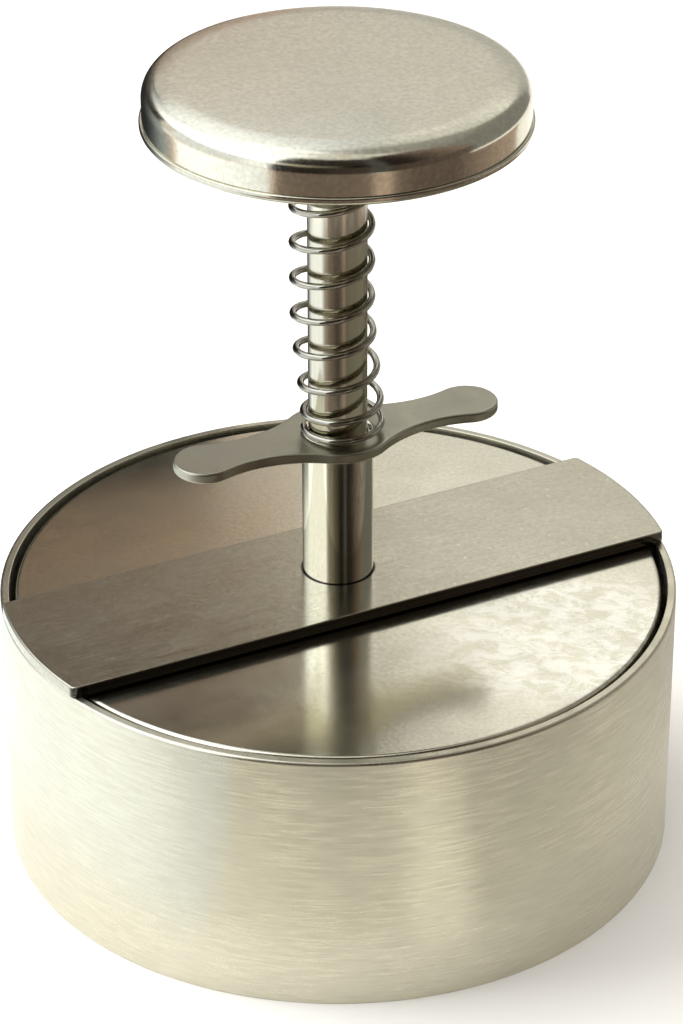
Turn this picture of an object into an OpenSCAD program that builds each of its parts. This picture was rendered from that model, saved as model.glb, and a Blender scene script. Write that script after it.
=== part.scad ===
// Hand patty press in stainless steel. A mould ring carries a bridge bar, a guide sleeve and a
// finger wing. A sprung plunger with a round press plate and a mushroom cap slides in the sleeve.
// Origin: centre of the ring's lower edge. +Z is up and the bridge bar lies along X.
// The plunger is drawn raised, as the spring holds it.

/* [Mould ring] */
// Outer diameter of the mould ring
ring_d = 115; // [100:1:130]
// Height of the mould ring
ring_h = 47; // [40:1:60]
// Thickness of the ring's wall
ring_wall = 1.5; // [1:0.1:2]
// Radius along the ring's outer top edge
ring_edge_r = 0.5; // [0.2:0.1:0.8]

/* [Bridge bar] */
// Width of the bridge bar
bar_w = 30; // [24:1:40]
// Thickness of the bridge bar
bar_t = 2; // [1.5:0.1:3]
// Radius along the top edge at the bar's two ends
bar_edge_r = 0.4; // [0.2:0.1:0.8]
// Leg of the fillet weld under each end of the bar
weld_leg = 0.6; // [0.4:0.1:0.7]

/* [Guide sleeve] */
// Outer diameter of the guide sleeve
sleeve_d = 12; // [11.6:0.1:13]
// Bore of the guide sleeve
sleeve_bore = 10; // [9.96:0.01:10.04]
// Height of the sleeve's upper end above the ring's lower edge
sleeve_top = 75.7; // [74:0.1:80]
// Width of the groove round the sleeve in the bar's upper face
groove_w = 0.3; // [0.2:0.05:0.5]
// Depth of that groove
groove_depth = 0.8; // [0.4:0.1:1]

/* [Finger wing] */
// Distance from the sleeve's axis to the centre of each rounded wing tip
wing_reach = 24.1; // [22:0.1:28]
// Radius of each wing tip
wing_tip_r = 5.3; // [5:0.1:6]
// Radius of the wing's middle
wing_hub_r = 9.2; // [8.5:0.1:10]
// Radius of the hollow curves between the middle and the tips
wing_waist_r = 20; // [18:0.5:26]
// Thickness of the wing
wing_t = 1.8; // [1.5:0.1:2.5]
// Angle of the wing to the bar, in degrees
wing_skew = -1.5; // [-3:0.5:3]

/* [Plunger] */
// Diameter of the plunger rod
rod_d = 9.85; // [9.82:0.01:9.9]
// Height of the cap's underside above the ring's lower edge
cap_under = 131.2; // [128:0.1:140]
// Diameter of the press plate
plate_d = 110; // [96:0.5:111]
// Thickness of the press plate
plate_t = 2.5; // [2.5:0.1:4]
// Radius along the press plate's upper edge
plate_edge_r = 0.7; // [0.4:0.1:1]
// Outer diameter of the stop washer
stop_d = 20; // [14:1:24]
// Thickness of the stop washer
stop_t = 0.3; // [0.3:0.1:0.8]

/* [Cap] */
// Diameter of the cap's base disc
base_d = 63.2; // [60:0.2:70]
// Thickness of the cap's base disc
base_t = 1.4; // [1.2:0.1:2]
// Height of the cap's shell above the base disc
shell_h = 7.2; // [7:0.1:10]
// How far the shell sits in from the base disc's edge
shell_inset = 0.45; // [0.2:0.05:1]
// Sheet thickness of the shell
shell_t = 1; // [0.8:0.1:1.2]
// Outer radius of the shell's shoulder
shoulder_r = 3.7; // [3:0.1:5]

/* [Spring] */
// Wire diameter of the return spring
wire_d = 1.18; // [1:0.02:1.2]
// Mean coil radius of the return spring
coil_r = 6.5; // [6.4:0.05:6.8]
// Number of turns of the return spring
spring_turns = 9.7; // [8:0.1:10.5]
// Turns over which the pitch grows at each end
ramp_turns = 2; // [1.5:0.25:2.5]
// Pitch at the wire's two ends
end_pitch = 1.8; // [1.3:0.1:2.5]
// Sideways lean of the spring at its foot and, the other way, at its head
spring_lean = 0.8; // [0:0.1:0.8]
// Direction of that lean, in degrees from +X
lean_dir = -27; // [-180:1:180]
// Direction in which the lower wire end points, in degrees from +X
wire_end_dir = 153; // [-180:1:180]

/* [Fasteners] */
// Thread diameter of the press plate's countersunk screw
screw_d = 5; // [4:1:5]
// Length of the press plate's countersunk screw
screw_l = 14; // [10:1:20]
// Thread diameter of the stud at the rod's upper end
stud_d = 8; // [6:1:8]
// Width across flats of the nut in the cap
nut_af = 13; // [13:1:14]
// Height of the nut in the cap
nut_h = 4; // [3:0.5:5]

/* [Hidden] */

ring_r = ring_d / 2;
ring_in_r = ring_r - ring_wall;
deburr = 0.2;                 // small radius on an edge that is only broken
stop_gap = 0.1;               // play between the stop washer and the bar
plate_top = ring_h - stop_gap - stop_t;
plate_bottom = plate_top - plate_t;
bar_top = ring_h + bar_t;
weld_inset = 2;               // how far each weld stops short of the bar's sides

washer_d = 18;                // spring washer under the cap
washer_t = 1;
washer_bore = rod_d + 0.35;
face_gap = 0.05;              // play between faces that only lean on each other

screw_head_d = 1.84 * screw_d;
screw_head_h = (screw_head_d - screw_d) / 2;      // a 90 degree countersink
slot_w = 1.2;
slot_depth = 1.1;
screw_clearance = 0.4;
stud_l = base_t + nut_h + 0.6;
stud_clearance = 0.4;
tap_depth = screw_l - plate_t + 2;

base_r = base_d / 2;
shell_r = base_r - shell_inset;
shell_under = cap_under + base_t;
shell_in_r = shell_r - shell_t;
base_edge_r = 0.45;

wire_r = wire_d / 2;
spring_foot = sleeve_top + face_gap;
spring_head = cap_under - face_gap - washer_t - face_gap;
spring_rise = spring_head - spring_foot - wire_d;
open_pitch = (spring_rise - end_pitch * ramp_turns) / (spring_turns - ramp_turns);
coil_steps = 24;              // facets along one turn of the wire
wire_sides = 8;
lean_span = 0.45;             // share of the spring's height in which the lean changes side

// Centre of the hollow curve between the wing's middle and a tip, and its direction from both.
waist_x = (pow(wing_reach, 2) + pow(wing_hub_r + wing_waist_r, 2)
    - pow(wing_tip_r + wing_waist_r, 2)) / (2 * wing_reach);
waist_y = sqrt(pow(wing_hub_r + wing_waist_r, 2) - pow(waist_x, 2));
hub_angle = atan2(waist_y, waist_x);
tip_angle = atan2(waist_y, waist_x - wing_reach);
arc_steps = 24;

over = 1;                     // how far a cutter runs past a face
fine = 160;
small = 64;

// Rise of the wire over the first t turns, while the pitch grows from end_pitch to open_pitch.
function end_rise(t) = end_pitch * t + (open_pitch - end_pitch) * t * t / (2 * ramp_turns);

// Height of the wire's centre line after t turns. The head mirrors the foot.
function wire_z(t) = spring_foot + wire_r + (
    t < ramp_turns ? end_rise(t)
    : t > spring_turns - ramp_turns ? spring_rise - end_rise(spring_turns - t)
    : end_rise(ramp_turns) + open_pitch * (t - ramp_turns));

// Sideways shift of the coil at height z. It crosses over in the lower part of the spring.
function smooth(s) = let (u = min(1, max(0, s))) u * u * (3 - 2 * u);
function lean(z) = spring_lean * (1 - 2 * smooth((z - spring_foot) / (lean_span * spring_rise)));

// A point on the wire's surface: t turns up the coil, a degrees round the wire.
function wire_point(t, a) = let (
        turn = wire_end_dir + 360 * t,
        reach = coil_r + wire_r * cos(a),
        z = wire_z(t)
    ) [
        reach * cos(turn) + lean(z) * cos(lean_dir),
        reach * sin(turn) + lean(z) * sin(lean_dir),
        z + wire_r * sin(a)
    ];

// Right half of a disc's section, r by h from z = 0 upward. Its outer top corner is rounded,
// and its outer low corner too where low_r is above 0.
module disc_section(r, h, top_r, low_r = 0) {
    translate([0, low_r])
        square([r, h - top_r - low_r]);
    square([r - low_r, h - top_r]);
    translate([0, low_r])
        square([r - top_r, h - low_r]);
    translate([r - top_r, h - top_r])
        circle(r = top_r, $fn = small);
    if (low_r > 0)
        translate([r - low_r, low_r])
            circle(r = low_r, $fn = small);
}

// A flat washer with its lower face at z.
module washer(d, bore, t, z) {
    translate([0, 0, z])
        difference() {
            cylinder(d = d, h = t, $fn = fine);
            translate([0, 0, -over])
                cylinder(d = bore, h = t + 2 * over, $fn = fine);
        }
}

module mould_ring() {
    color("darkgray")
        rotate_extrude($fn = fine)
            difference() {
                disc_section(ring_r, ring_h, ring_edge_r, deburr);
                translate([0, -over])
                    square([ring_in_r, ring_h + 2 * over]);
            }
}

module bridge_bar() {
    color("silver")
        difference() {
            intersection() {
                translate([0, 0, ring_h])
                    rotate_extrude($fn = fine)
                        disc_section(ring_r, bar_t, bar_edge_r, deburr);
                translate([-ring_r - over, -bar_w / 2, ring_h - over])
                    cube([ring_d + 2 * over, bar_w, bar_t + 2 * over]);
            }
            translate([0, 0, ring_h - over])
                cylinder(d = sleeve_d, h = bar_t + 2 * over, $fn = fine);
            translate([0, 0, bar_top - groove_depth])
                cylinder(d = sleeve_d + 2 * groove_w, h = groove_depth + over, $fn = fine);
        }
}

module bridge_welds() {
    color("dimgray")
        intersection() {
            rotate_extrude($fn = fine)
                polygon([
                    [ring_in_r, ring_h],
                    [ring_in_r - weld_leg, ring_h],
                    [ring_in_r, ring_h - weld_leg]
                ]);
            translate([-ring_r, weld_inset - bar_w / 2, 0])
                cube([ring_d, bar_w - 2 * weld_inset, ring_h + over]);
        }
}

module guide_sleeve() {
    color("gainsboro")
        translate([0, 0, ring_h])
            difference() {
                cylinder(d = sleeve_d, h = sleeve_top - ring_h, $fn = fine);
                translate([0, 0, -over])
                    cylinder(d = sleeve_bore, h = sleeve_top - ring_h + 2 * over, $fn = fine);
            }
}

// Points along an arc, without its last one, so that the next arc can follow on.
function arc(centre, r, from, to) = [
    for (i = [0:arc_steps - 1])
        let (a = from + (to - from) * i / arc_steps)
            centre + r * [cos(a), sin(a)]
];

// The wing's outline: a round middle and two round tips, joined by hollow curves.
// The second half is the first one turned by 180 degrees.
module wing_outline() {
    half = concat(
        arc([wing_reach, 0], wing_tip_r, -tip_angle, tip_angle),
        arc([waist_x, waist_y], wing_waist_r, tip_angle - 180, hub_angle - 180),
        arc([0, 0], wing_hub_r, hub_angle, 180 - hub_angle),
        arc([-waist_x, waist_y], wing_waist_r, -hub_angle, -tip_angle)
    );
    polygon(concat(half, [for (p = half) -p]));
}

module wing_grip() {
    color("silver")
        translate([0, 0, sleeve_top - wing_t])
            rotate([0, 0, wing_skew])
                difference() {
                    linear_extrude(wing_t)
                        wing_outline();
                    translate([0, 0, -over])
                        cylinder(d = sleeve_d, h = wing_t + 2 * over, $fn = fine);
                }
}

module return_spring() {
    rings = round(spring_turns * coil_steps);
    points = [
        for (i = [0:rings], k = [0:wire_sides - 1])
            wire_point(spring_turns * i / rings, 360 * (k + 0.5) / wire_sides)
    ];
    walls = [
        for (i = [0:rings - 1], k = [0:wire_sides - 1])
            let (m = (k + 1) % wire_sides, low = i * wire_sides, high = low + wire_sides)
                [low + k, low + m, high + m, high + k]
    ];
    first_end = [for (k = [wire_sides - 1:-1:0]) k];
    last_end = [for (k = [0:wire_sides - 1]) rings * wire_sides + k];
    color("whitesmoke")
        polyhedron(points, concat(walls, [first_end, last_end]), convexity = 12);
}

module spring_washer() {
    color("silver")
        washer(washer_d, washer_bore, washer_t, spring_head + face_gap);
}

module plunger_rod() {
    color("lightgray")
        difference() {
            union() {
                translate([0, 0, plate_top])
                    cylinder(d = rod_d, h = cap_under - plate_top, $fn = fine);
                translate([0, 0, cap_under])
                    cylinder(d = stud_d, h = stud_l, $fn = fine);
            }
            translate([0, 0, plate_top - over])
                cylinder(d = screw_d, h = tap_depth + over, $fn = small);
        }
}

// The countersunk screw's outside, with its head's flat face at the plate's lower face.
module screw_solid() {
    translate([0, 0, plate_bottom]) {
        cylinder(d1 = screw_head_d, d2 = screw_d, h = screw_head_h, $fn = small);
        cylinder(d = screw_d, h = screw_l, $fn = small);
    }
}

module press_plate() {
    color("silver")
        difference() {
            translate([0, 0, plate_bottom])
                rotate_extrude($fn = fine)
                    disc_section(plate_d / 2, plate_t, plate_edge_r, deburr);
            screw_solid();
            translate([0, 0, plate_bottom - over])
                cylinder(d = screw_d + screw_clearance, h = plate_t + 2 * over, $fn = small);
            translate([0, 0, plate_bottom - over])
                cylinder(d = screw_head_d, h = over, $fn = small);
        }
}

module stop_washer() {
    color("white")
        washer(stop_d, rod_d, stop_t, plate_top);
}

module plate_screw() {
    color("gray")
        difference() {
            screw_solid();
            translate([-screw_head_d, -slot_w / 2, plate_bottom - over])
                cube([2 * screw_head_d, slot_w, slot_depth + over]);
        }
}

module cap_base() {
    color("silver")
        difference() {
            translate([0, 0, cap_under])
                rotate_extrude($fn = fine)
                    disc_section(base_r, base_t, base_edge_r, base_edge_r);
            translate([0, 0, cap_under - over])
                cylinder(d = stud_d + stud_clearance, h = base_t + 2 * over, $fn = small);
        }
}

module cap_nut() {
    color("gray")
        translate([0, 0, shell_under])
            difference() {
                cylinder(d = nut_af / cos(30), h = nut_h, $fn = 6);
                translate([0, 0, -over])
                    cylinder(d = stud_d, h = nut_h + 2 * over, $fn = small);
            }
}

module cap_shell() {
    color("darkgray")
        translate([0, 0, shell_under])
            rotate_extrude($fn = fine)
                difference() {
                    disc_section(shell_r, shell_h, shoulder_r);
                    translate([0, -over])
                        disc_section(shell_in_r, shell_h - shell_t + over, shoulder_r - shell_t);
                }
}

mould_ring();
bridge_bar();
bridge_welds();
guide_sleeve();
wing_grip();
return_spring();
spring_washer();
plunger_rod();
press_plate();
stop_washer();
plate_screw();
cap_base();
cap_nut();
cap_shell();
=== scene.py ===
"""Looks for the patty press: smooth, edge-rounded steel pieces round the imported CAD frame."""
import math

import bpy
from mathutils import Matrix, Vector
from mathutils.geometry import tessellate_polygon


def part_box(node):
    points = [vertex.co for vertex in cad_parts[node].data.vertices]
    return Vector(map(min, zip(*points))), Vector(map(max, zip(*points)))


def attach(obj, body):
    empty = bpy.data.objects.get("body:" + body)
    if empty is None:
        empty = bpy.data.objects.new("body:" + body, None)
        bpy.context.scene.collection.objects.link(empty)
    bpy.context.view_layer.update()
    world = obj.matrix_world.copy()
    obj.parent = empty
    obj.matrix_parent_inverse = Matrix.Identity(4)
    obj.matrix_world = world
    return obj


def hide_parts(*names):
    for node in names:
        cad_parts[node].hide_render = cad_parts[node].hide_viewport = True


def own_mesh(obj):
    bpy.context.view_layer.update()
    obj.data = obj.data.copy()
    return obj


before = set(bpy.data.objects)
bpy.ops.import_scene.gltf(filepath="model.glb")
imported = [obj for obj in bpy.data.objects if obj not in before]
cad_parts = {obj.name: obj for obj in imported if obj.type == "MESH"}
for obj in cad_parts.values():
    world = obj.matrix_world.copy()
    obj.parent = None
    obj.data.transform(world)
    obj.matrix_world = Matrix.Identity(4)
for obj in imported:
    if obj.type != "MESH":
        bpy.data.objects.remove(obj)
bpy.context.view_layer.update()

MM = 0.001
TURN = 2 * math.pi
scene = bpy.context.scene


def size_of(node):
    """Outer radius, lowest and highest z of a node that stands on the Z axis, in metres."""
    low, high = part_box(node)
    return (high.x - low.x) / 2, low.z, high.z


# ---------------------------------------------------------------- mesh helpers

def fillet(corners, steps=6):
    """A closed outline with each corner (x, y, radius) rounded. Points just before and after
    each rounding keep the flats beside it flat when the mesh is shaded smooth."""
    out = []
    for i, (x, y, r) in enumerate(corners):
        here = Vector((x, y))
        back = Vector(corners[i - 1][:2]) - here
        on = Vector(corners[(i + 1) % len(corners)][:2]) - here
        if r <= 0:
            out.append((x, y))
            continue
        room = min(back.length, on.length)
        back.normalize()
        on.normalize()
        half = back.angle(on) / 2
        reach = r / math.tan(half)
        spare = min(0.25 * r, 0.3 * max(room - reach, 0))
        middle = here + (back + on).normalized() * (r / math.sin(half))
        first = here + back * reach - middle
        last = here + on * reach - middle
        a0 = math.atan2(first.y, first.x)
        sweep = (math.atan2(last.y, last.x) - a0 + math.pi) % TURN - math.pi
        if spare > 1e-7:
            out.append(tuple(here + back * (reach + spare)))
        for k in range(steps + 1):
            a = a0 + sweep * k / steps
            out.append((middle.x + r * math.cos(a), middle.y + r * math.sin(a)))
        if spare > 1e-7:
            out.append(tuple(here + on * (reach + spare)))
    return out


def mesh_object(name, verts, faces, sharp=35):
    mesh = bpy.data.meshes.new(name)
    mesh.from_pydata([tuple(v) for v in verts], [], faces)
    mesh.validate()
    mesh.polygons.foreach_set("use_smooth", [True] * len(mesh.polygons))
    mesh.update()
    mesh.set_sharp_from_angle(angle=math.radians(sharp))
    obj = bpy.data.objects.new(name, mesh)
    scene.collection.objects.link(obj)
    return obj


def outward(verts, faces):
    """Faces turned so that the closed mesh's volume is positive."""
    volume = 0.0
    for f in faces:
        a = Vector(verts[f[0]])
        for i in range(1, len(f) - 1):
            volume += a.dot(Vector(verts[f[i]]).cross(Vector(verts[f[i + 1]])))
    return faces if volume > 0 else [tuple(reversed(f)) for f in faces]


def lathe(name, profile, steps=288, sharp=35):
    """A solid of revolution about Z from a closed section of (radius, z) points."""
    verts, faces, rows = [], [], []
    for r, z in profile:
        if r < 1e-9:
            rows.append([len(verts)] * steps)
            verts.append((0.0, 0.0, z))
            continue
        rows.append(list(range(len(verts), len(verts) + steps)))
        verts += [(r * math.cos(TURN * i / steps), r * math.sin(TURN * i / steps), z)
                  for i in range(steps)]
    for j, row in enumerate(rows):
        after = rows[(j + 1) % len(rows)]
        if row[0] == row[1] and after[0] == after[1]:
            continue
        for i in range(steps):
            k = (i + 1) % steps
            corners = [row[i], row[k], after[k], after[i]]
            faces.append(tuple(dict.fromkeys(corners)))
    return mesh_object(name, verts, outward(verts, faces), sharp)


def outline_normals(points):
    """Outward unit normals of a closed outline that runs anticlockwise."""
    out = []
    for i, p in enumerate(points):
        a, b = Vector(points[i - 1]), Vector(points[(i + 1) % len(points)])
        d = (b - a).normalized()
        out.append(Vector((d.y, -d.x)))
    return out


def slab(name, outline, edge, hole, sharp=35, steps=144):
    """A flat plate round a central hole. edge(x, y) gives its side's section at an outline point,
    as (inset, z) from the upper face to the lower one, and hole is the bore's (radius, z) section,
    from the upper face down."""
    normals = outline_normals(outline)
    sides = [edge(x, y) for x, y in outline]
    rim = [[(x - n.x * side[j][0], y - n.y * side[j][0], side[j][1])
            for (x, y), n, side in zip(outline, normals, sides)] for j in range(len(sides[0]))]
    flat = 0.5 * MM                       # keeps the faces flat next to the bore
    section = [(hole[0][0] + flat, hole[0][1]), *hole, (hole[-1][0] + flat, hole[-1][1])]
    bore = [[(r * math.cos(TURN * i / steps), r * math.sin(TURN * i / steps), z) for i in range(steps)]
            for r, z in section]
    verts, faces, ends = [], [], []
    for loops, outer in ((rim, True), (bore, False)):
        count = len(loops[0])
        first = len(verts)
        for j, loop in enumerate(loops):
            verts += loop
            here = first + j * count
            for i in range(count if j else 0):
                k = (i + 1) % count
                quad = (here - count + i, here - count + k, here + k, here + i)
                faces.append(tuple(reversed(quad)) if outer else quad)
        last = first + (len(loops) - 1) * count
        ends.append(([first + i for i in range(count)], [last + i for i in range(count)]))
    for end, up in ((0, 1), (1, -1)):
        around_it = ends[0][end] + ends[1][end]
        flats = [[Vector(verts[i]) for i in loops[end]] for loops in ends]
        for a, b, c in tessellate_polygon(flats):
            a, b, c = around_it[a], around_it[b], around_it[c]
            facing = (Vector(verts[b]) - Vector(verts[a])).cross(Vector(verts[c]) - Vector(verts[a])).z
            faces.append((a, b, c) if facing * up > 0 else (a, c, b))
    return mesh_object(name, verts, outward(verts, faces), sharp)


def sweep(name, points, sideways, radius, sides=14):
    """A round wire along points. sideways(i) gives a direction across the wire at point i. Each end
    is closed by a smaller ring a little further on, and a flat face."""
    end_scale, end_step = 0.82, 0.12
    rings = []
    for i, p in enumerate(points):
        a, b = points[max(i - 1, 0)], points[min(i + 1, len(points) - 1)]
        along = (b - a).normalized()
        across = sideways(i)
        across = (across - along * across.dot(along)).normalized()
        up = along.cross(across)
        rings.append([p + radius * (across * math.cos(TURN * k / sides) + up * math.sin(TURN * k / sides))
                      for k in range(sides)])
    for end, ring in ((0, rings[0]), (-1, rings[-1])):
        middle = points[end]
        small = [middle + (v - middle) * end_scale for v in ring]
        step = (points[1] - points[0]) if end == 0 else (points[-2] - points[-1])
        shift = step.normalized() * radius * -end_step
        rings.insert(0 if end == 0 else len(rings), [v + shift for v in small])
    verts = [v for ring in rings for v in ring]
    faces = []
    for i in range(len(rings) - 1):
        for k in range(sides):
            m = (k + 1) % sides
            faces.append((i * sides + k, i * sides + m, (i + 1) * sides + m, (i + 1) * sides + k))
    faces.append(tuple(reversed(range(sides))))
    faces.append(tuple(range((len(rings) - 1) * sides, len(rings) * sides)))
    return mesh_object(name, verts, outward(verts, faces), 50)


# ------------------------------------------------------------------- materials

class Steel:
    """A node material for steel: one shader, with what varies over the surface wired into it."""

    def __init__(self, name, tint, roughness, anisotropic=0.0, tangent=None, turned=0.0, metallic=1.0):
        self.material = bpy.data.materials.new(name)
        self.material.use_nodes = True
        self.tree = self.material.node_tree
        self.tree.nodes.clear()
        self.shader = self.node("ShaderNodeBsdfPrincipled")
        out = self.node("ShaderNodeOutputMaterial")
        self.join(self.shader.outputs["BSDF"], out.inputs["Surface"])
        self.tint = tint
        self.roughness = roughness
        self.shader.inputs["Metallic"].default_value = metallic
        self.shader.inputs["Roughness"].default_value = roughness
        self.shader.inputs["Base Color"].default_value = (*tint, 1)
        self.shader.inputs["Anisotropic"].default_value = anisotropic
        self.shader.inputs["Anisotropic Rotation"].default_value = turned
        if tangent:
            t = self.node("ShaderNodeTangent", direction_type="RADIAL", axis=tangent)
            self.join(t.outputs[0], self.shader.inputs["Tangent"])
        self.place = self.node("ShaderNodeTexCoord").outputs["Object"]
        self.normal = None

    def node(self, kind, **settings):
        n = self.tree.nodes.new(kind)
        for key, value in settings.items():
            setattr(n, key, value)
        return n

    def join(self, a, b):
        self.tree.links.new(a, b)

    def math(self, operation, a, b=None):
        n = self.node("ShaderNodeMath", operation=operation)
        for i, value in enumerate((a, b)):
            if value is None:
                continue
            if hasattr(value, "is_output"):
                self.join(value, n.inputs[i])
            else:
                n.inputs[i].default_value = value
        return n.outputs[0]

    def axes(self):
        """The x, y and z of the object coordinates, which are the CAD frame's at rest."""
        parts = self.node("ShaderNodeSeparateXYZ")
        self.join(self.place, parts.inputs[0])
        return [parts.outputs[k] for k in "XYZ"]

    def length(self, x, y):
        """How far (x, y) is from the origin."""
        squares = self.math("ADD", self.math("MULTIPLY", x, x), self.math("MULTIPLY", y, y))
        return self.math("POWER", squares, 0.5)

    def stretched(self, scale, turn=0.0):
        """Object coordinates in millimetres times scale, turned about Z first."""
        spin = self.node("ShaderNodeMapping", vector_type="POINT")
        spin.inputs["Rotation"].default_value = (0, 0, math.radians(turn))
        self.join(self.place, spin.inputs["Vector"])
        m = self.node("ShaderNodeMapping", vector_type="POINT")
        m.inputs["Scale"].default_value = [s / MM for s in scale]
        self.join(spin.outputs[0], m.inputs["Vector"])
        return m.outputs[0]

    def around(self, radius, along, across):
        """Coordinates that run round the Z axis: along per mm of arc at radius, and across per mm of
        height. They use the angle's cosine and sine, so that the pattern has no seam."""
        x, y, z = self.axes()
        angle = self.math("ARCTAN2", y, x)
        reach = radius / MM * along
        out = self.node("ShaderNodeCombineXYZ")
        self.join(self.math("MULTIPLY", self.math("COSINE", angle), reach), out.inputs["X"])
        self.join(self.math("MULTIPLY", self.math("SINE", angle), reach), out.inputs["Y"])
        self.join(self.math("MULTIPLY", z, across / MM), out.inputs["Z"])
        return out.outputs[0]

    def noise(self, where, scale=1.0, detail=2.0, rough=0.5, distortion=0.0):
        n = self.node("ShaderNodeTexNoise", noise_dimensions="3D")
        self.join(where, n.inputs["Vector"])
        n.inputs["Scale"].default_value = scale
        n.inputs["Detail"].default_value = detail
        n.inputs["Roughness"].default_value = rough
        n.inputs["Distortion"].default_value = distortion
        return n.outputs["Fac"]

    def ranged(self, value, low, high, to_low, to_high, smooth=False):
        """The value moved from the range low to high to the range to_low to to_high, and held there."""
        n = self.node("ShaderNodeMapRange", clamp=True)
        n.interpolation_type = "SMOOTHSTEP" if smooth else "LINEAR"
        self.join(value, n.inputs["Value"])
        for key, v in (("From Min", low), ("From Max", high), ("To Min", to_low), ("To Max", to_high)):
            n.inputs[key].default_value = v
        return n.outputs[0]

    def bump(self, height, distance):
        """Adds a pattern to the surface's bumps. Its height is a socket from 0 to 1, times distance."""
        n = self.node("ShaderNodeBump")
        n.inputs["Distance"].default_value = distance
        self.join(height, n.inputs["Height"])
        if self.normal:
            self.join(self.normal, n.inputs["Normal"])
        self.normal = n.outputs[0]
        self.join(self.normal, self.shader.inputs["Normal"])

    def satin(self, per_mm, depth):
        """The fine speckle of a satin surface, as a (factor, colour) layer."""
        shade = 0.62                      # the speckle's own colour, as a part of the tint
        speckle = self.noise(self.stretched((per_mm, per_mm, per_mm)), detail=2, rough=0.6)
        return self.ranged(speckle, 0.36, 0.64, 0.0, depth), tuple(shade * c for c in self.tint)

    def vary_roughness(self, *parts):
        """Roughness is its base value plus each part, a socket, and never below MIRROR."""
        total = self.math("ADD", parts[0], self.roughness)
        for p in parts[1:]:
            total = self.math("ADD", total, p)
        self.join(self.math("MAXIMUM", total, MIRROR), self.shader.inputs["Roughness"])

    def vary_colour(self, *layers):
        """Base colour with layers (factor socket, colour) mixed over it."""
        colour = None
        for factor, over in layers:
            mix = self.node("ShaderNodeMix", data_type="RGBA")
            if colour is None:
                mix.inputs["A"].default_value = (*self.tint, 1)
            else:
                self.join(colour, mix.inputs["A"])
            mix.inputs["B"].default_value = (*over, 1)
            self.join(factor, mix.inputs["Factor"])
            colour = mix.outputs["Result"]
        self.join(colour, self.shader.inputs["Base Color"])


MIRROR = 0.02                          # the least roughness of any finish
WARM = (0.63, 0.607, 0.49)
BRIGHT = (0.72, 0.70, 0.60)
DULL = (0.50, 0.47, 0.36)


def ring_finish():
    s = Steel("ring_brushed_steel", (0.645, 0.615, 0.49), 0.30, anisotropic=0.72, tangent="Z", turned=0.25)
    dashes = s.noise(s.around(ring_r, 0.16, 2.3), detail=3, rough=0.55)
    fine = s.noise(s.around(ring_r, 0.5, 3.6), detail=2, rough=0.6)
    wobble = s.noise(s.around(ring_r, 0.045, 0.006), detail=2)
    cloud = s.noise(s.stretched((0.05, 0.05, 0.05)), detail=3, distortion=0.6)
    s.bump(dashes, 0.8e-6)
    s.bump(wobble, 5.0e-4)
    s.vary_roughness(s.ranged(dashes, 0.35, 0.65, -0.03, 0.04), s.ranged(cloud, 0.35, 0.7, -0.03, 0.04))
    s.vary_colour((s.ranged(dashes, 0.36, 0.64, 0.0, 0.28), (0.42, 0.395, 0.305)),
                  (s.ranged(fine, 0.38, 0.62, 0.0, 0.20), (0.70, 0.68, 0.57)),
                  (s.ranged(cloud, 0.4, 0.75, 0, 0.15), BRIGHT))
    return s.material


def bar_finish():
    s = Steel("bar_brushed_steel", (0.505, 0.482, 0.388), 0.19, anisotropic=0.15, tangent="X")
    lines = s.noise(s.stretched((0.07, 3.2, 1.0)), detail=4, rough=0.6)
    cloud = s.noise(s.stretched((0.09, 0.13, 0.1)), detail=4, distortion=0.3)
    specks = s.noise(s.stretched((0.9, 0.9, 0.9)), detail=2, rough=0.4)
    # Painted dark reflection on the sheared sides, and painted shade in and just round the groove at the
    # sleeve's foot.
    x, y, z = s.axes()
    # Painted shade: a near-black ring in the sleeve's groove and just round it.
    groove_shade_paint = s.ranged(s.length(x, y), sleeve_r + 0.2 * MM, sleeve_r + 0.5 * MM, 0.9, 0.0)
    outer = s.ranged(s.math("ABSOLUTE", y), bar_half - 1.2 * MM, bar_half - 0.6 * MM, 0.0, 1.0)
    lower = s.ranged(z, bar_top - 0.30 * MM, bar_top - 0.10 * MM, 0.92, 0.0)
    # Painted dark reflection: a near-black colour on the sheared side faces, below the top.
    sheared = s.math("MULTIPLY", outer, lower)
    s.bump(lines, 0.9e-6)
    s.bump(specks, 4.0e-6)
    s.vary_roughness(s.ranged(lines, 0.3, 0.7, -0.03, 0.04), s.ranged(cloud, 0.35, 0.65, -0.012, 0.018))
    s.vary_colour(s.satin(1.5, 0.30), (s.ranged(cloud, 0.38, 0.7, 0.0, 0.10), DULL),
                  (s.ranged(specks, 0.68, 0.76, 0, 0.45), BRIGHT),
                  (sheared, (0.05, 0.047, 0.04)), (groove_shade_paint, (0.04, 0.035, 0.03)))
    return s.material


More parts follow.
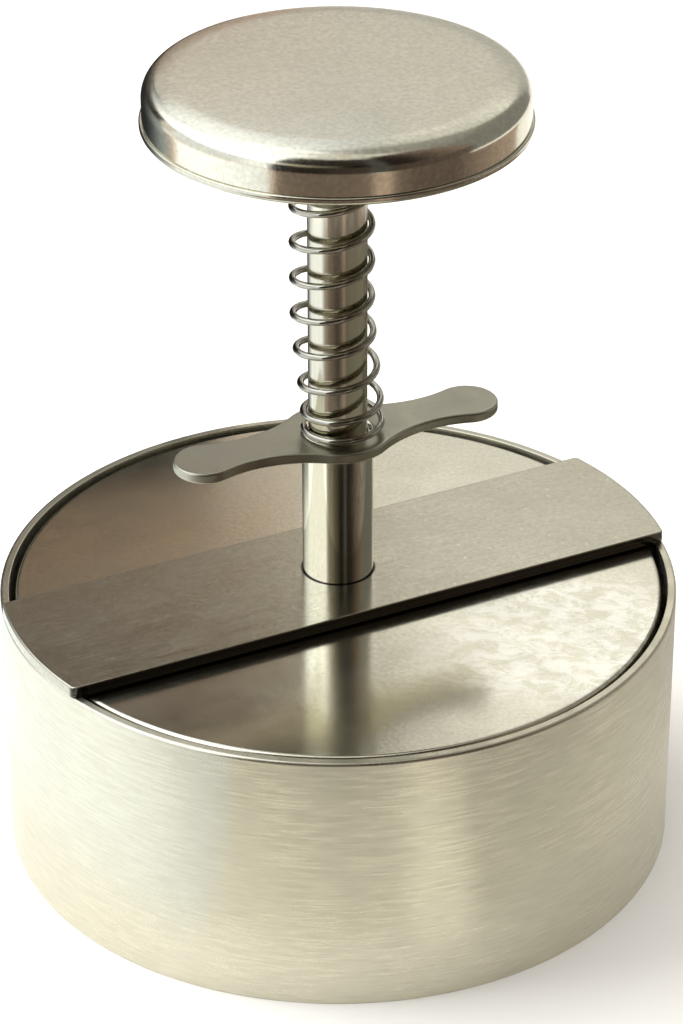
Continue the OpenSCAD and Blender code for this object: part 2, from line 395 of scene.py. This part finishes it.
def plate_finish():
    s = Steel("plate_satin_steel", (0.665, 0.64, 0.524), 0.16)
    grain = s.noise(s.stretched((0.35, 1.6, 1.0), 28), detail=4, rough=0.6)
    cloud = s.noise(s.stretched((0.10, 0.12, 0.1)), detail=5, rough=0.6, distortion=0.3)
    patch_edge_noise = s.noise(s.stretched((0.24, 0.34, 0.3), 40), detail=6, rough=0.75, distortion=0.5)
    specks = s.noise(s.stretched((1.1, 1.1, 1.0)), detail=2, rough=0.4)
    # A lighter, rougher patch, off to one side of the middle.
    patch_at, patch_reach = (25 * MM, -34 * MM), (25 * MM, 21 * MM)
    x, y = (s.math("MULTIPLY", s.math("SUBTRACT", v, at), 1 / reach)
            for v, at, reach in zip(s.axes(), patch_at, patch_reach))
    spot = s.math("MULTIPLY", s.ranged(s.length(x, y), 0.6, 1.1, 1.0, 0.0, smooth=True),
                  s.ranged(patch_edge_noise, 0.40, 0.60, 0.0, 1.0, smooth=True))
    s.bump(grain, 0.7e-6)
    s.bump(specks, 3.0e-6)
    s.vary_roughness(s.ranged(cloud, 0.35, 0.65, -0.012, 0.02), s.math("MULTIPLY", spot, 0.05))
    s.vary_colour(s.satin(1.5, 0.28), (s.ranged(cloud, 0.38, 0.68, 0.0, 0.12), DULL),
                  (s.math("MULTIPLY", spot, 0.95), (0.93, 0.92, 0.84)),
                  (s.ranged(specks, 0.68, 0.76, 0, 0.45), BRIGHT))
    return s.material


def cap_finish(name="cap_satin_steel", painted_shade_scale=1.0):
    # A scale below 1 gives a darker copy of this finish, which is painted shade.
    s = Steel(name, tuple(painted_shade_scale * c for c in (0.665, 0.64, 0.52)), 0.235)
    scratch = s.noise(s.stretched((0.10, 3.0, 1.0), 82), detail=4, rough=0.6)
    fine = s.noise(s.stretched((2.2, 2.2, 2.2)), detail=3, rough=0.7)
    cloud = s.noise(s.stretched((0.06, 0.06, 0.06)), detail=4, rough=0.6, distortion=0.5)
    # The drawn side and the bend are glossier than the brushed top.
    _, _, z = s.axes()
    side = s.ranged(z, cap_top - 1.8 * MM, cap_top - 0.4 * MM, -0.085, 0.0)
    s.bump(scratch, 1.2e-6)
    s.bump(fine, 6.0e-6)
    s.vary_roughness(s.ranged(scratch, 0.35, 0.75, 0.02, -0.05),
                     s.ranged(cloud, 0.35, 0.65, -0.02, 0.03), side)
    s.vary_colour(s.satin(1.3, 0.36), (s.ranged(cloud, 0.40, 0.70, 0.0, 0.2), DULL),
                  (s.ranged(scratch, 0.62, 0.78, 0, 0.45), (0.85, 0.83, 0.72)))
    return s.material


def tube_finish():
    s = Steel("tube_polished_steel", (0.78, 0.76, 0.68), 0.055)
    near_r = 6 * MM                       # the radius that the pattern is drawn for
    lines = s.noise(s.around(near_r, 0.6, 0.05), detail=3, rough=0.6)
    haze = s.noise(s.stretched((0.3, 0.3, 0.12)), detail=3)
    s.bump(lines, 1.2e-6)
    s.vary_roughness(s.ranged(haze, 0.4, 0.75, 0.0, 0.05))
    s.vary_colour((s.ranged(haze, 0.45, 0.75, 0.0, 0.25), WARM))
    return s.material


def rod_finish():
    s = Steel("rod_satin_steel", WARM, 0.12, anisotropic=0.15, tangent="Z", turned=0.25)
    near_r = 4.9 * MM                     # the radius that the pattern is drawn for
    rings = s.noise(s.around(near_r, 0.5, 3.5), detail=3, rough=0.6)
    streak = s.noise(s.around(near_r, 0.9, 0.04), detail=3)
    s.bump(rings, 0.8e-6)
    s.bump(streak, 3.0e-6)
    s.vary_roughness(s.ranged(streak, 0.35, 0.7, -0.03, 0.05))
    s.vary_colour((s.ranged(streak, 0.4, 0.7, 0.0, 0.35), DULL))
    return s.material


def wing_finish():
    s = Steel("wing_tumbled_steel", (0.41, 0.397, 0.315), 0.30)
    pits = s.noise(s.stretched((1.5, 1.5, 1.5)), detail=4, rough=0.65)
    cloud = s.noise(s.stretched((0.12, 0.12, 0.12)), detail=4, distortion=0.6)
    # The lower face is smooth, and its near-white colour is painted light that brightens its mirror image
    # in the plate. The tumbled skin is on the upper face and the edge.
    _, _, z = s.axes()
    under = s.ranged(z, wing_under + 0.05 * MM, wing_under + 0.35 * MM, 1.0, 0.0)
    s.bump(pits, 3.0e-6)
    s.vary_roughness(s.ranged(cloud, 0.35, 0.65, -0.04, 0.06), s.math("MULTIPLY", under, -0.22))
    s.vary_colour(s.satin(2.6, 0.16), (s.ranged(cloud, 0.4, 0.7, 0.0, 0.45), (0.33, 0.31, 0.25)),
                  # Painted light: the lower face coloured near white.
                  (under, (0.97, 0.95, 0.86)))
    return s.material


def spring_finish():
    s = Steel("spring_polished_wire", (0.37, 0.355, 0.305), 0.045)
    drawn = s.noise(s.stretched((1.2, 1.2, 5.0)), detail=3, rough=0.6)
    s.bump(drawn, 1.5e-6)
    s.vary_roughness(s.ranged(drawn, 0.35, 0.7, -0.03, 0.08))
    s.vary_colour((s.ranged(drawn, 0.5, 0.8, 0.0, 0.35), DULL))
    return s.material


def small_steel(name, roughness, grain):
    s = Steel(name, DULL, roughness)
    pits = s.noise(s.stretched((grain, grain, grain)), detail=4, rough=0.65)
    s.bump(pits, 4.0e-6)
    s.vary_roughness(s.ranged(pits, 0.35, 0.7, -0.06, 0.10))
    s.vary_colour((s.ranged(pits, 0.4, 0.7, 0.0, 0.5), (0.36, 0.33, 0.27)))
    return s.material


def washer_plastic():
    s = Steel("washer_white_plastic", (0.78, 0.76, 0.70), 0.45, metallic=0.0)
    grain = s.noise(s.stretched((1.5, 1.5, 1.5)), detail=3)
    s.bump(grain, 4.0e-6)
    s.vary_roughness(s.ranged(grain, 0.3, 0.7, -0.05, 0.08))
    s.vary_colour((s.ranged(grain, 0.4, 0.7, 0.0, 0.3), (0.66, 0.63, 0.56)))
    return s.material


# ---------------------------------------------------------------------- pieces

def finish_piece(obj, material, body, node):
    """Gives a piece its material and its body, and hides the CAD node that it takes the place of."""
    obj.data.materials.append(material)
    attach(obj, body)
    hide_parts(node)


def upper_round(r, top, inset=0.0, steps=6):
    """An edge's section rounded from the upper face down to the side, as (inset, z) points."""
    turns = [math.pi / 2 * k / steps for k in range(steps + 1)]
    return [(r - r * math.sin(a) + inset, top - r + r * math.cos(a)) for a in turns]


def lower_round(r, under, steps=6):
    """An edge's section rounded from the side down to the lower face, as (inset, z) points."""
    turns = [math.pi / 2 * k / steps for k in range(steps + 1)]
    return [(r - r * math.cos(a), under + r - r * math.sin(a)) for a in turns]


EASED = 0.2 * MM                       # radius of an edge that is only broken
FINE = 0.06 * MM                       # radius of an edge that looks sharp

ring_r, _, ring_top = size_of("mould_ring")
ring_in = ring_r - 1.5 * MM
ring = lathe("ring", fillet([
    (ring_in, 0, EASED), (ring_r, 0, EASED),
    (ring_r, ring_top, 0.5 * MM), (ring_in, ring_top, 0.12 * MM)]), 512)
finish_piece(ring, ring_finish(), "frame", "mould_ring")

sleeve_low, sleeve_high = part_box("guide_sleeve")
sleeve_r = (sleeve_high.x - sleeve_low.x) / 2
sleeve_top = sleeve_high.z
sleeve_bore = sleeve_r - 1 * MM

# The bar: sheared along its two long sides, and rounded over at the ends.
bar_low, bar_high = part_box("bridge_bar")
bar_half, bar_top, bar_under = bar_high.y, bar_high.z, bar_low.z


def bar_outline():
    corner, steps = 1.1 * MM, 60
    end_angle = math.asin(bar_half / ring_r)
    angles = [-end_angle + 2 * end_angle * i / steps for i in range(steps + 1)]
    end = [(ring_r * math.cos(a), ring_r * math.sin(a), 0) for a in angles]
    end[0] = (*end[0][:2], corner)
    end[-1] = (*end[-1][:2], corner)
    end = [end[0], *end[2:-2], end[-1]]   # leaves room for the corners' rounding
    return fillet(end + [(-x, -y, r) for x, y, r in end], 8)


def bar_edge(x, y):
    """A sheared side, whose lower part stands a little proud, that turns into a rounded end."""
    sheared = min(1.0, max(0.0, (abs(y) - bar_half + 1.0 * MM) / (0.9 * MM)))
    top_r = (0.40 - 0.24 * sheared) * MM
    low_r = 0.15 * MM
    flat = 0.15 * MM                      # keeps the faces flat next to the roundings
    lip = 0.07 * MM * sheared
    line = bar_top - (1.15 - 0.28 * sheared * x / ring_r) * MM
    return [(top_r + lip + flat, bar_top), *upper_round(top_r, bar_top, lip),
            (lip, line + 0.05 * MM), (lip, line), (0, line - 0.07 * MM), (0, line - 0.12 * MM),
            *lower_round(low_r, bar_under, 3), (low_r + flat, bar_under)]


groove_r, groove_z = sleeve_r + 0.15 * MM, bar_top - 0.8 * MM
bar = slab("bar", bar_outline(), bar_edge, [
    (groove_r, bar_top), (groove_r, groove_z), (sleeve_r, groove_z), (sleeve_r, bar_under)], 28)
finish_piece(bar, bar_finish(), "frame", "bridge_bar")

sleeve = lathe("sleeve", fillet([
    (sleeve_bore, sleeve_low.z, FINE), (sleeve_r, sleeve_low.z, FINE),
    (sleeve_r, sleeve_top, EASED), (sleeve_bore, sleeve_top, EASED)]), 160)
finish_piece(sleeve, tube_finish(), "frame", "guide_sleeve")

# The wing: a round middle and two round tips, joined by hollow curves.
wing_low, wing_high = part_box("wing_grip")
wing_top, wing_under = wing_high.z, wing_low.z
wing_skew = math.radians(-1.5)         # turned a little out of line with the bar
tip_at, tip_r, hub_r, waist_r = 24.1 * MM, 5.3 * MM, 9.2 * MM, 20 * MM


def wing_outline():
    waist_x = (tip_at ** 2 + (hub_r + waist_r) ** 2 - (tip_r + waist_r) ** 2) / (2 * tip_at)
    waist_y = math.sqrt((hub_r + waist_r) ** 2 - waist_x ** 2)
    hub_a, tip_a = math.atan2(waist_y, waist_x), math.atan2(waist_y, waist_x - tip_at)

    def arc(cx, cy, r, start, end, steps=44):
        return [(cx + r * math.cos(start + (end - start) * i / steps),
                 cy + r * math.sin(start + (end - start) * i / steps)) for i in range(steps)]

    half = (arc(tip_at, 0, tip_r, -tip_a, tip_a)
            + arc(waist_x, waist_y, waist_r, tip_a - math.pi, hub_a - math.pi)
            + arc(0, 0, hub_r, hub_a, math.pi - hub_a)
            + arc(-waist_x, waist_y, waist_r, -hub_a, -tip_a))
    whole = half + [(-x, -y) for x, y in half]
    c, s = math.cos(wing_skew), math.sin(wing_skew)
    return [(x * c - y * s, x * s + y * c) for x, y in whole]


def wing_edge(x, y):
    """The same soft edge all round."""
    r = 0.38 * MM
    flat = 0.2 * MM                       # keeps the faces flat next to the roundings
    return [(r + flat, wing_top), *upper_round(r, wing_top), (0, wing_top - r - 0.1 * MM),
            (0, wing_under + r + 0.1 * MM), *lower_round(r, wing_under), (r + flat, wing_under)]


wing_chamfer = 0.10 * MM
wing = slab("wing", wing_outline(), wing_edge, [
    (sleeve_r + wing_chamfer, wing_top), (sleeve_r, wing_top - wing_chamfer),
    (sleeve_r, wing_under + wing_chamfer), (sleeve_r + wing_chamfer, wing_under)], 40)
finish_piece(wing, wing_finish(), "frame", "wing_grip")

# The return spring. Its turns draw closer together at both ends, and its slight lean changes side.
wire_r, coil_r = 0.59 * MM, 6.5 * MM
turns, turn_steps = 9.7, 72
ramp, end_pitch = 2.0, 1.8 * MM        # turns over which the pitch opens, and the pitch at the ends
lean_by, lean_to, wire_start = 0.85 * MM, math.radians(-27), math.radians(153)
_, spring_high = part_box("return_spring")
spring_foot = sleeve_top + 0.05 * MM
spring_rise = spring_high.z - spring_foot - 2 * wire_r
open_pitch = (spring_rise - end_pitch * ramp) / (turns - ramp)


def end_rise(t):
    """How far the wire rises in its first t turns, while the pitch opens."""
    return end_pitch * t + (open_pitch - end_pitch) * t * t / (2 * ramp)


def wire_height(t):
    if t < ramp:
        return end_rise(t)
    if t > turns - ramp:
        return spring_rise - end_rise(turns - t)
    return end_rise(ramp) + open_pitch * (t - ramp)


def wire_line():
    """The wire's middle, as (point, angle round the Z axis) pairs."""
    steps = round(turns * turn_steps)
    lean_part = 0.45                      # of the rise, over which the lean changes side
    out = []
    for i in range(steps + 1):
        t = turns * i / steps
        a = wire_start + TURN * t
        z = spring_foot + wire_r + wire_height(t)
        u = min(1, max(0, (z - spring_foot) / (lean_part * spring_rise)))
        lean = lean_by * (1 - 2 * u * u * (3 - 2 * u))
        out.append((Vector((coil_r * math.cos(a) + lean * math.cos(lean_to),
                            coil_r * math.sin(a) + lean * math.sin(lean_to), z)), a))
    return out


line = wire_line()
spring = sweep("spring", [p for p, _ in line],
               lambda i: Vector((math.cos(line[i][1]), math.sin(line[i][1]), 0)), wire_r)
finish_piece(spring, spring_finish(), "frame", "return_spring")
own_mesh(spring)

# The plunger: rod, press plate and cap.
base_r, cap_under, disc_top = size_of("cap_base")
shell_r, _, cap_top = size_of("cap_shell")
rod_r, rod_foot, rod_high = size_of("plunger_rod")
stud_r, tap_r, tap_top = 4 * MM, 2.5 * MM, rod_foot + 13.5 * MM
rod = lathe("rod", fillet([
    (tap_r, rod_foot, FINE), (rod_r, rod_foot, EASED), (rod_r, cap_under, EASED),
    (stud_r, cap_under, 0), (stud_r, rod_high, 0.5 * MM), (0, rod_high, 0),
    (0, tap_top, 0), (tap_r, tap_top, 0)]), 144)
finish_piece(rod, rod_finish(), "plunger", "plunger_rod")

plate_r, plate_under, plate_top = size_of("press_plate")
head_r, hole_r = 4.6 * MM, 2.7 * MM
plate = lathe("plate", fillet([
    (plate_r, plate_under, EASED), (plate_r, plate_top, 0.7 * MM), (hole_r, plate_top, FINE),
    (hole_r, plate_under + head_r - hole_r, 0), (head_r, plate_under, 0)]), 384)
finish_piece(plate, plate_finish(), "plunger", "press_plate")

disc_hole_r = 4.2 * MM
disc = lathe("cap_disc", fillet([
    (disc_hole_r, cap_under, FINE), (base_r, cap_under, 0.8 * MM), (base_r, disc_top, 0.3 * MM),
    (disc_hole_r, disc_top, FINE)]), 320)
# The disc's copy of the cap finish is darker: painted shade along the cap's lower lip.
finish_piece(disc, cap_finish("cap_disc_steel", 0.86), "plunger", "cap_base")

shoulder, sheet = 3.7 * MM, 1.0 * MM


def pressed_shoulder():
    """The shell's outer turn from its wall to its flat top: a tight bend that ends in a slack one."""
    tight, slack, turn = 3.3 * MM, 16 * MM, math.radians(78)
    tight_steps, slack_steps = 16, 6
    mid_r = shell_r - tight
    mid_z = cap_top - slack + (slack - tight) * math.sin(turn)
    out = [(shell_r, mid_z - 0.4 * MM)]
    for i in range(tight_steps + 1):
        a = turn * i / tight_steps
        out.append((mid_r + tight * math.cos(a), mid_z + tight * math.sin(a)))
    far_r, far_z = mid_r - (slack - tight) * math.cos(turn), cap_top - slack
    for i in range(1, slack_steps + 1):
        a = turn + (math.pi / 2 - turn) * i / slack_steps
        out.append((far_r + slack * math.cos(a), far_z + slack * math.sin(a)))
    return out + [(far_r - 1.2 * MM, cap_top)]


shell_in, cap_ceiling = shell_r - sheet, cap_top - sheet
inner = fillet([(shell_in, disc_top, 0), (shell_r, disc_top, 0), (shell_r, cap_top, 0), (0, cap_top, 0),
                (0, cap_ceiling, 0), (shell_in, cap_ceiling, shoulder - sheet)], 10)
shell = lathe("cap_shell_pressed", [inner[0], (shell_r - FINE, disc_top), (shell_r, disc_top + FINE),
                                    *pressed_shoulder(), *inner[3:]], 320)
finish_piece(shell, cap_finish(), "plunger", "cap_shell")

# Small parts keep their CAD shapes and get worked finishes.
for node, material in (
        ("bridge_welds", small_steel("weld_bead_steel", 0.38, 1.2)),
        ("plate_screw", small_steel("screw_steel", 0.26, 2.0)),
        ("cap_nut", small_steel("nut_steel", 0.30, 1.6)),
        ("spring_washer", small_steel("washer_steel", 0.24, 1.8)),
        ("stop_washer", washer_plastic())):
    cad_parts[node].data.materials.clear()
    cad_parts[node].data.materials.append(material)


# ---------------------------------------------------------------- stage, light

CAMERA_TURN = 26.8                    # the camera stands this far round from the -Y side, in degrees


def around(azimuth, distance, z):
    """A point at an azimuth from the camera's side, positive to the camera's right."""
    a = math.radians(-90 - CAMERA_TURN + azimuth)
    return Vector((distance * math.cos(a), distance * math.sin(a), z))


def plain(name, colour, roughness):
    """A plain material for the floor."""
    material = bpy.data.materials.new(name)
    material.use_nodes = True
    shader = material.node_tree.nodes["Principled BSDF"]
    shader.inputs["Base Color"].default_value = (*colour, 1)
    shader.inputs["Roughness"].default_value = roughness
    return material


def level(stops, at):
    """Brightness at an azimuth, between (azimuth, brightness) stops."""
    for (a, u), (b, v) in zip(stops, stops[1:]):
        if at <= b:
            return u + (v - u) * max(0.0, (at - a) / (b - a))
    return stops[-1][1]


def upright(distance, low, high):
    """The edges of a card that stands at a distance, from one height to another."""
    return (distance, low), (distance, high)


def lying(near, far, z):
    """The edges of a card that lies at a height, from one distance to another."""
    return (near, z), (far, z)


def card(name, colour, stops, edges, fade=1.0):
    """A studio card that only shows in the steel's reflections. It runs round the object from its
    first (azimuth, brightness) stop to its last, between two edges, each a (distance, z) pair, and
    its second edge is fade times as bright as its first one."""
    degrees_each = 1.5
    low, high = edges
    start, end = stops[0][0], stops[-1][0]
    steps = max(2, round((end - start) / degrees_each))
    at = [start + (end - start) * i / steps for i in range(steps + 1)]
    n = len(at)
    obj = mesh_object(name, [around(a, *low) for a in at] + [around(a, *high) for a in at],
                      [(i, i + 1, n + i + 1, n + i) for i in range(n - 1)])
    glow = [level(stops, a) for a in at]
    stored = obj.data.attributes.new("glow", "FLOAT", "POINT")
    stored.data.foreach_set("value", glow + [g * fade for g in glow])
    material = bpy.data.materials.new(name)
    material.use_nodes = True
    tree = material.node_tree
    tree.nodes.clear()
    shine = tree.nodes.new("ShaderNodeEmission")
    shine.inputs["Color"].default_value = (*colour, 1)
    source = tree.nodes.new("ShaderNodeAttribute")
    source.attribute_name = "glow"
    tree.links.new(source.outputs["Fac"], shine.inputs["Strength"])
    out = tree.nodes.new("ShaderNodeOutputMaterial")
    tree.links.new(shine.outputs[0], out.inputs[0])
    obj.data.materials.append(material)
    obj.visible_camera = False
    obj.visible_diffuse = False
    obj.visible_shadow = False
    obj.visible_transmission = False


floor_half = 6.0
floor = mesh_object("floor", [(-floor_half, -floor_half, 0), (floor_half, -floor_half, 0),
                              (floor_half, floor_half, 0), (-floor_half, floor_half, 0)], [(0, 1, 2, 3)])
floor.data.materials.append(plain("floor_white", (0.90, 0.89, 0.87), 0.75))

BROWN = (1.0, 0.76, 0.62)
DUSK = (1.0, 0.72, 0.52)
CREAM = (1.0, 0.985, 0.93)
SAND = (1.0, 0.93, 0.72)
COOL = (0.95, 0.985, 1.04)
ICE = (0.95, 1.0, 1.03)
FLOOR = 0.0015                         # a card's height when it lies just over the floor
WINDOW, FRONT, WALL = 0.90, 0.50, 2.5  # how far the window, the room's front and the wall behind stand off
NEAR_LOW, NEAR_HIGH = 0.073, 0.1395    # the parts of the table that the ring, the rod and the cap mirror
MID_LOW, MID_HIGH = 0.14, 0.247
FAR_LOW, FAR_HIGH = 0.25, 0.50

# A wide window on the left, and a darker room in front and on the right.
card("card_window", COOL, [(-105, 2.6), (-37, 2.6)], upright(WINDOW, 0.46, 1.30))
card("card_window_low", COOL, [(-105, 1.25), (-60, 1.25), (-37, 1.9)], upright(WINDOW, 0.02, 0.46))
card("card_window_side", COOL,
     [(-158, 0.1), (-146, 0.8), (-130, 1.8), (-105, 2.6)], upright(WINDOW, 0.42, 1.30))
card("card_window_top", COOL, [(-172, 2.0), (-34, 2.0)], ((WINDOW, 1.30), (0.25, 1.50)))
card("card_front", BROWN, [(-37, 0.02), (-10, 0.03), (0, 0.06), (18, 0.07)], upright(FRONT, 0.002, 0.29))
card("card_front_middle", SAND,
     [(-31, 0.60), (-20, 0.48), (-10, 0.20), (0, 0.10), (6, 0.012), (18, 0.012)],
     upright(FRONT, 0.29, 0.40))
card("card_front_high", BROWN, [(-36, 0.02), (18, 0.04)], upright(FRONT, 0.40, 1.05))
card("card_front_gap", CREAM, [(18, 0.10), (28, 0.10)], upright(0.52, 0.002, 1.05))
card("card_front_low_right", BROWN, [(28, 0.08), (80, 0.16)], upright(FRONT, 0.002, 0.25))
card("card_front_right", BROWN,
     [(28, 0.02), (44, 0.04), (58, 0.15), (80, 0.34)], upright(FRONT, 0.25, 1.35))
card("card_right", CREAM, [(80, 0.30), (145, 0.30)], upright(0.55, 0.05, 0.75))
card("card_ceiling_right", CREAM, [(76, 0.40), (184, 0.40)], ((0.80, 0.95), (0.15, 1.50)))

# What lies on the table round the object. The mould ring sees the nearest of it, the rod sees the
# part just outside that, and the cap sees the far part.
card("card_table_lit", ICE,
     [(-160, 1.5), (-140, 1.55), (-124, 1.42), (-107, 1.62), (-66, 1.62), (-48, 1.50), (-36, 1.25),
      (-28, 1.12)], lying(NEAR_LOW, NEAR_HIGH, FLOOR), 1.03)
card("card_table_shade", (1, 0.965, 0.86),
     [(-28, 1.12), (-13, 1.08), (2, 0.93), (12, 0.95), (18, 1.24), (25, 1.24), (33, 0.80), (56, 0.76),
      (70, 0.80), (92, 0.78), (124, 0.62), (150, 0.62)], lying(NEAR_LOW, NEAR_HIGH, FLOOR), 1.03)
card("card_table_near", BROWN,
     [(-50, 0.50), (-33, 0.24), (-17, 0.15), (0, 0.07), (14, 0.15), (22, 0.30), (29, 0.30), (33, 0.16),
      (46, 0.20), (105, 0.24), (180, 0.06)], lying(MID_LOW, MID_HIGH, FLOOR))
card("card_table_collar", SAND,
     [(34, 0.17), (46, 0.20), (105, 0.24), (170, 0.06)], lying(0.061, 0.135, 0.0485))
card("card_table_near_left", COOL,
     [(-180, 0.03), (-150, 0.10), (-135, 0.5), (-116, 1.5), (-64, 1.5), (-50, 0.45)],
     lying(MID_LOW, MID_HIGH, FLOOR))
card("card_table_far", BROWN,
     [(-38, 1.2), (-34, 0.26), (-16, 0.22), (8, 0.22), (18, 0.27), (22, 0.62), (29, 0.62), (33, 0.24),
      (44, 0.16), (70, 0.15), (82, 0.26), (95, 0.38), (110, 0.50), (125, 0.55)],
     lying(FAR_LOW, FAR_HIGH, FLOOR))
card("card_table_left", BROWN,
     [(-180, 0.04), (-124, 0.05), (-114, 0.25), (-104, 1.2)], lying(FAR_LOW, 0.60, FLOOR))
card("card_table_window", COOL,
     [(-104, 1.85), (-80, 1.9), (-60, 1.75), (-38, 1.45)], lying(FAR_LOW, FAR_HIGH, FLOOR))
card("card_left_low", (0.9, 1.0, 1.03),
     [(-172, 0.02), (-140, 0.03), (-128, 0.12), (-119, 0.36), (-108, 0.60)], upright(0.20, 0.028, 0.14))

# What stands behind, which the flat tops mirror: a wall that is bright on the right, dark just left
# of the middle, and bright again further left and higher up, and a pale card close to the object.
card("card_back_low_right", CREAM, [(140, 0.62), (181, 0.62)], upright(WALL, 0.0, 1.05))
card("card_back_low_left", BROWN,
     [(181, 0.60), (188, 0.45), (202, 0.06), (241, 0.04)], upright(WALL, 0.0, 1.05))
card("card_back_cap", (1.0, 0.95, 0.91),
     [(140, 0.47), (173, 0.56), (177, 0.68), (181, 0.78), (186, 0.81), (225, 0.79)],
     upright(WALL, 1.05, 1.32), 1.55)
card("card_behind", COOL,
     [(174, 0.4), (178, 1.0), (186, 1.2), (194, 1.5), (230, 1.7)], upright(0.13, 0.214, 0.36), 1.2)
card("card_back_wing_right", CREAM, [(140, 0.55), (180.6, 0.55)], upright(WALL, 1.32, 1.43), 1.5)
card("card_back_wing_left", DUSK, [(180.6, 0.36), (183, 0.26), (241, 0.26)], upright(WALL, 1.32, 1.43))
card("card_back_right", CREAM,
     [(140, 0.95), (172, 1.05), (176, 1.35), (180.4, 1.65)], upright(WALL, 1.43, 1.59), 1.2)
card("card_back_left", DUSK,
     [(180.4, 1.1), (182, 0.95), (184, 0.70), (187, 0.55), (190, 0.46), (200, 0.37)],
     upright(WALL, 1.43, 1.59), 0.42)
card("card_back_fade_right", CREAM,
     [(140, 2.1), (176, 2.0), (178, 1.65), (178.8, 1.4)], upright(WALL, 1.59, 1.85), 0.5)
card("card_back_dim_right", CREAM, [(140, 0.7), (178.8, 0.7)], upright(WALL, 1.85, 2.15))
card("card_back_high_right", CREAM, [(140, 1.2), (180.6, 1.2)], upright(WALL, 2.15, 3.4))
card("card_back_high_left", DUSK, [(178.8, 0.06), (190, 0.05), (204, 0.05)], upright(WALL, 1.59, 2.45))
card("card_back_side", COOL, [(204, 1.3), (210, 1.6), (241, 1.6)], upright(WALL, 1.45, 2.45))
card("card_back_side_high", COOL, [(180.6, 1.2), (241, 1.6)], upright(WALL, 2.45, 3.6))

world = bpy.data.worlds.new("studio")
world.use_nodes = True
background = world.node_tree.nodes["Background"]
background.inputs["Color"].default_value = (1.0, 0.97, 0.915, 1)
background.inputs["Strength"].default_value = 0.97
scene.world = world


def lamp(name, kind, energy, colour, azimuth, distance, z):
    """A light that shines on the floor. The steel sees the cards instead."""
    data = bpy.data.lights.new(name, kind)
    data.energy = energy
    data.color = colour
    obj = bpy.data.objects.new(name, data)
    scene.collection.objects.link(obj)
    obj.location = around(azimuth, distance, z)
    obj.rotation_euler = (Vector((0, 0, 0.03)) - obj.location).to_track_quat("-Z", "Y").to_euler()
    obj.visible_glossy = False
    return data


lamp("sky", "SUN", 2.25, (1, 1, 0.99), -112, 1.0, 0.9).angle = math.radians(60)
side = lamp("side", "AREA", 1.6, (0.98, 1.0, 1.02), -98, 0.42, 0.36)
side.shape = "SQUARE"
side.size = 0.5

CAMERA_AWAY, CAMERA_UP = 0.5453, 0.3731  # metres from the object's axis, and over the table
CAMERA_DOWN, CAMERA_ROLL, CAMERA_PAN = 29.886, -0.11, 0.062  # degrees

camera_data = bpy.data.cameras.new("camera")
camera_data.lens = 131.0
camera_data.sensor_width = 36.0
camera_data.dof.use_dof = False
camera_data.clip_start, camera_data.clip_end = 0.02, 30
camera = bpy.data.objects.new("camera", camera_data)
scene.collection.objects.link(camera)
camera.matrix_world = (
    Matrix.Translation(around(0, CAMERA_AWAY, CAMERA_UP))
    @ Matrix.Rotation(math.radians(-CAMERA_TURN - CAMERA_PAN), 4, "Z")
    @ Matrix.Rotation(math.radians(90 - CAMERA_DOWN), 4, "X")
    @ Matrix.Rotation(math.radians(CAMERA_ROLL), 4, "Z"))
scene.camera = camera

scene.view_settings.view_transform = "Standard"
scene.view_settings.look = "None"
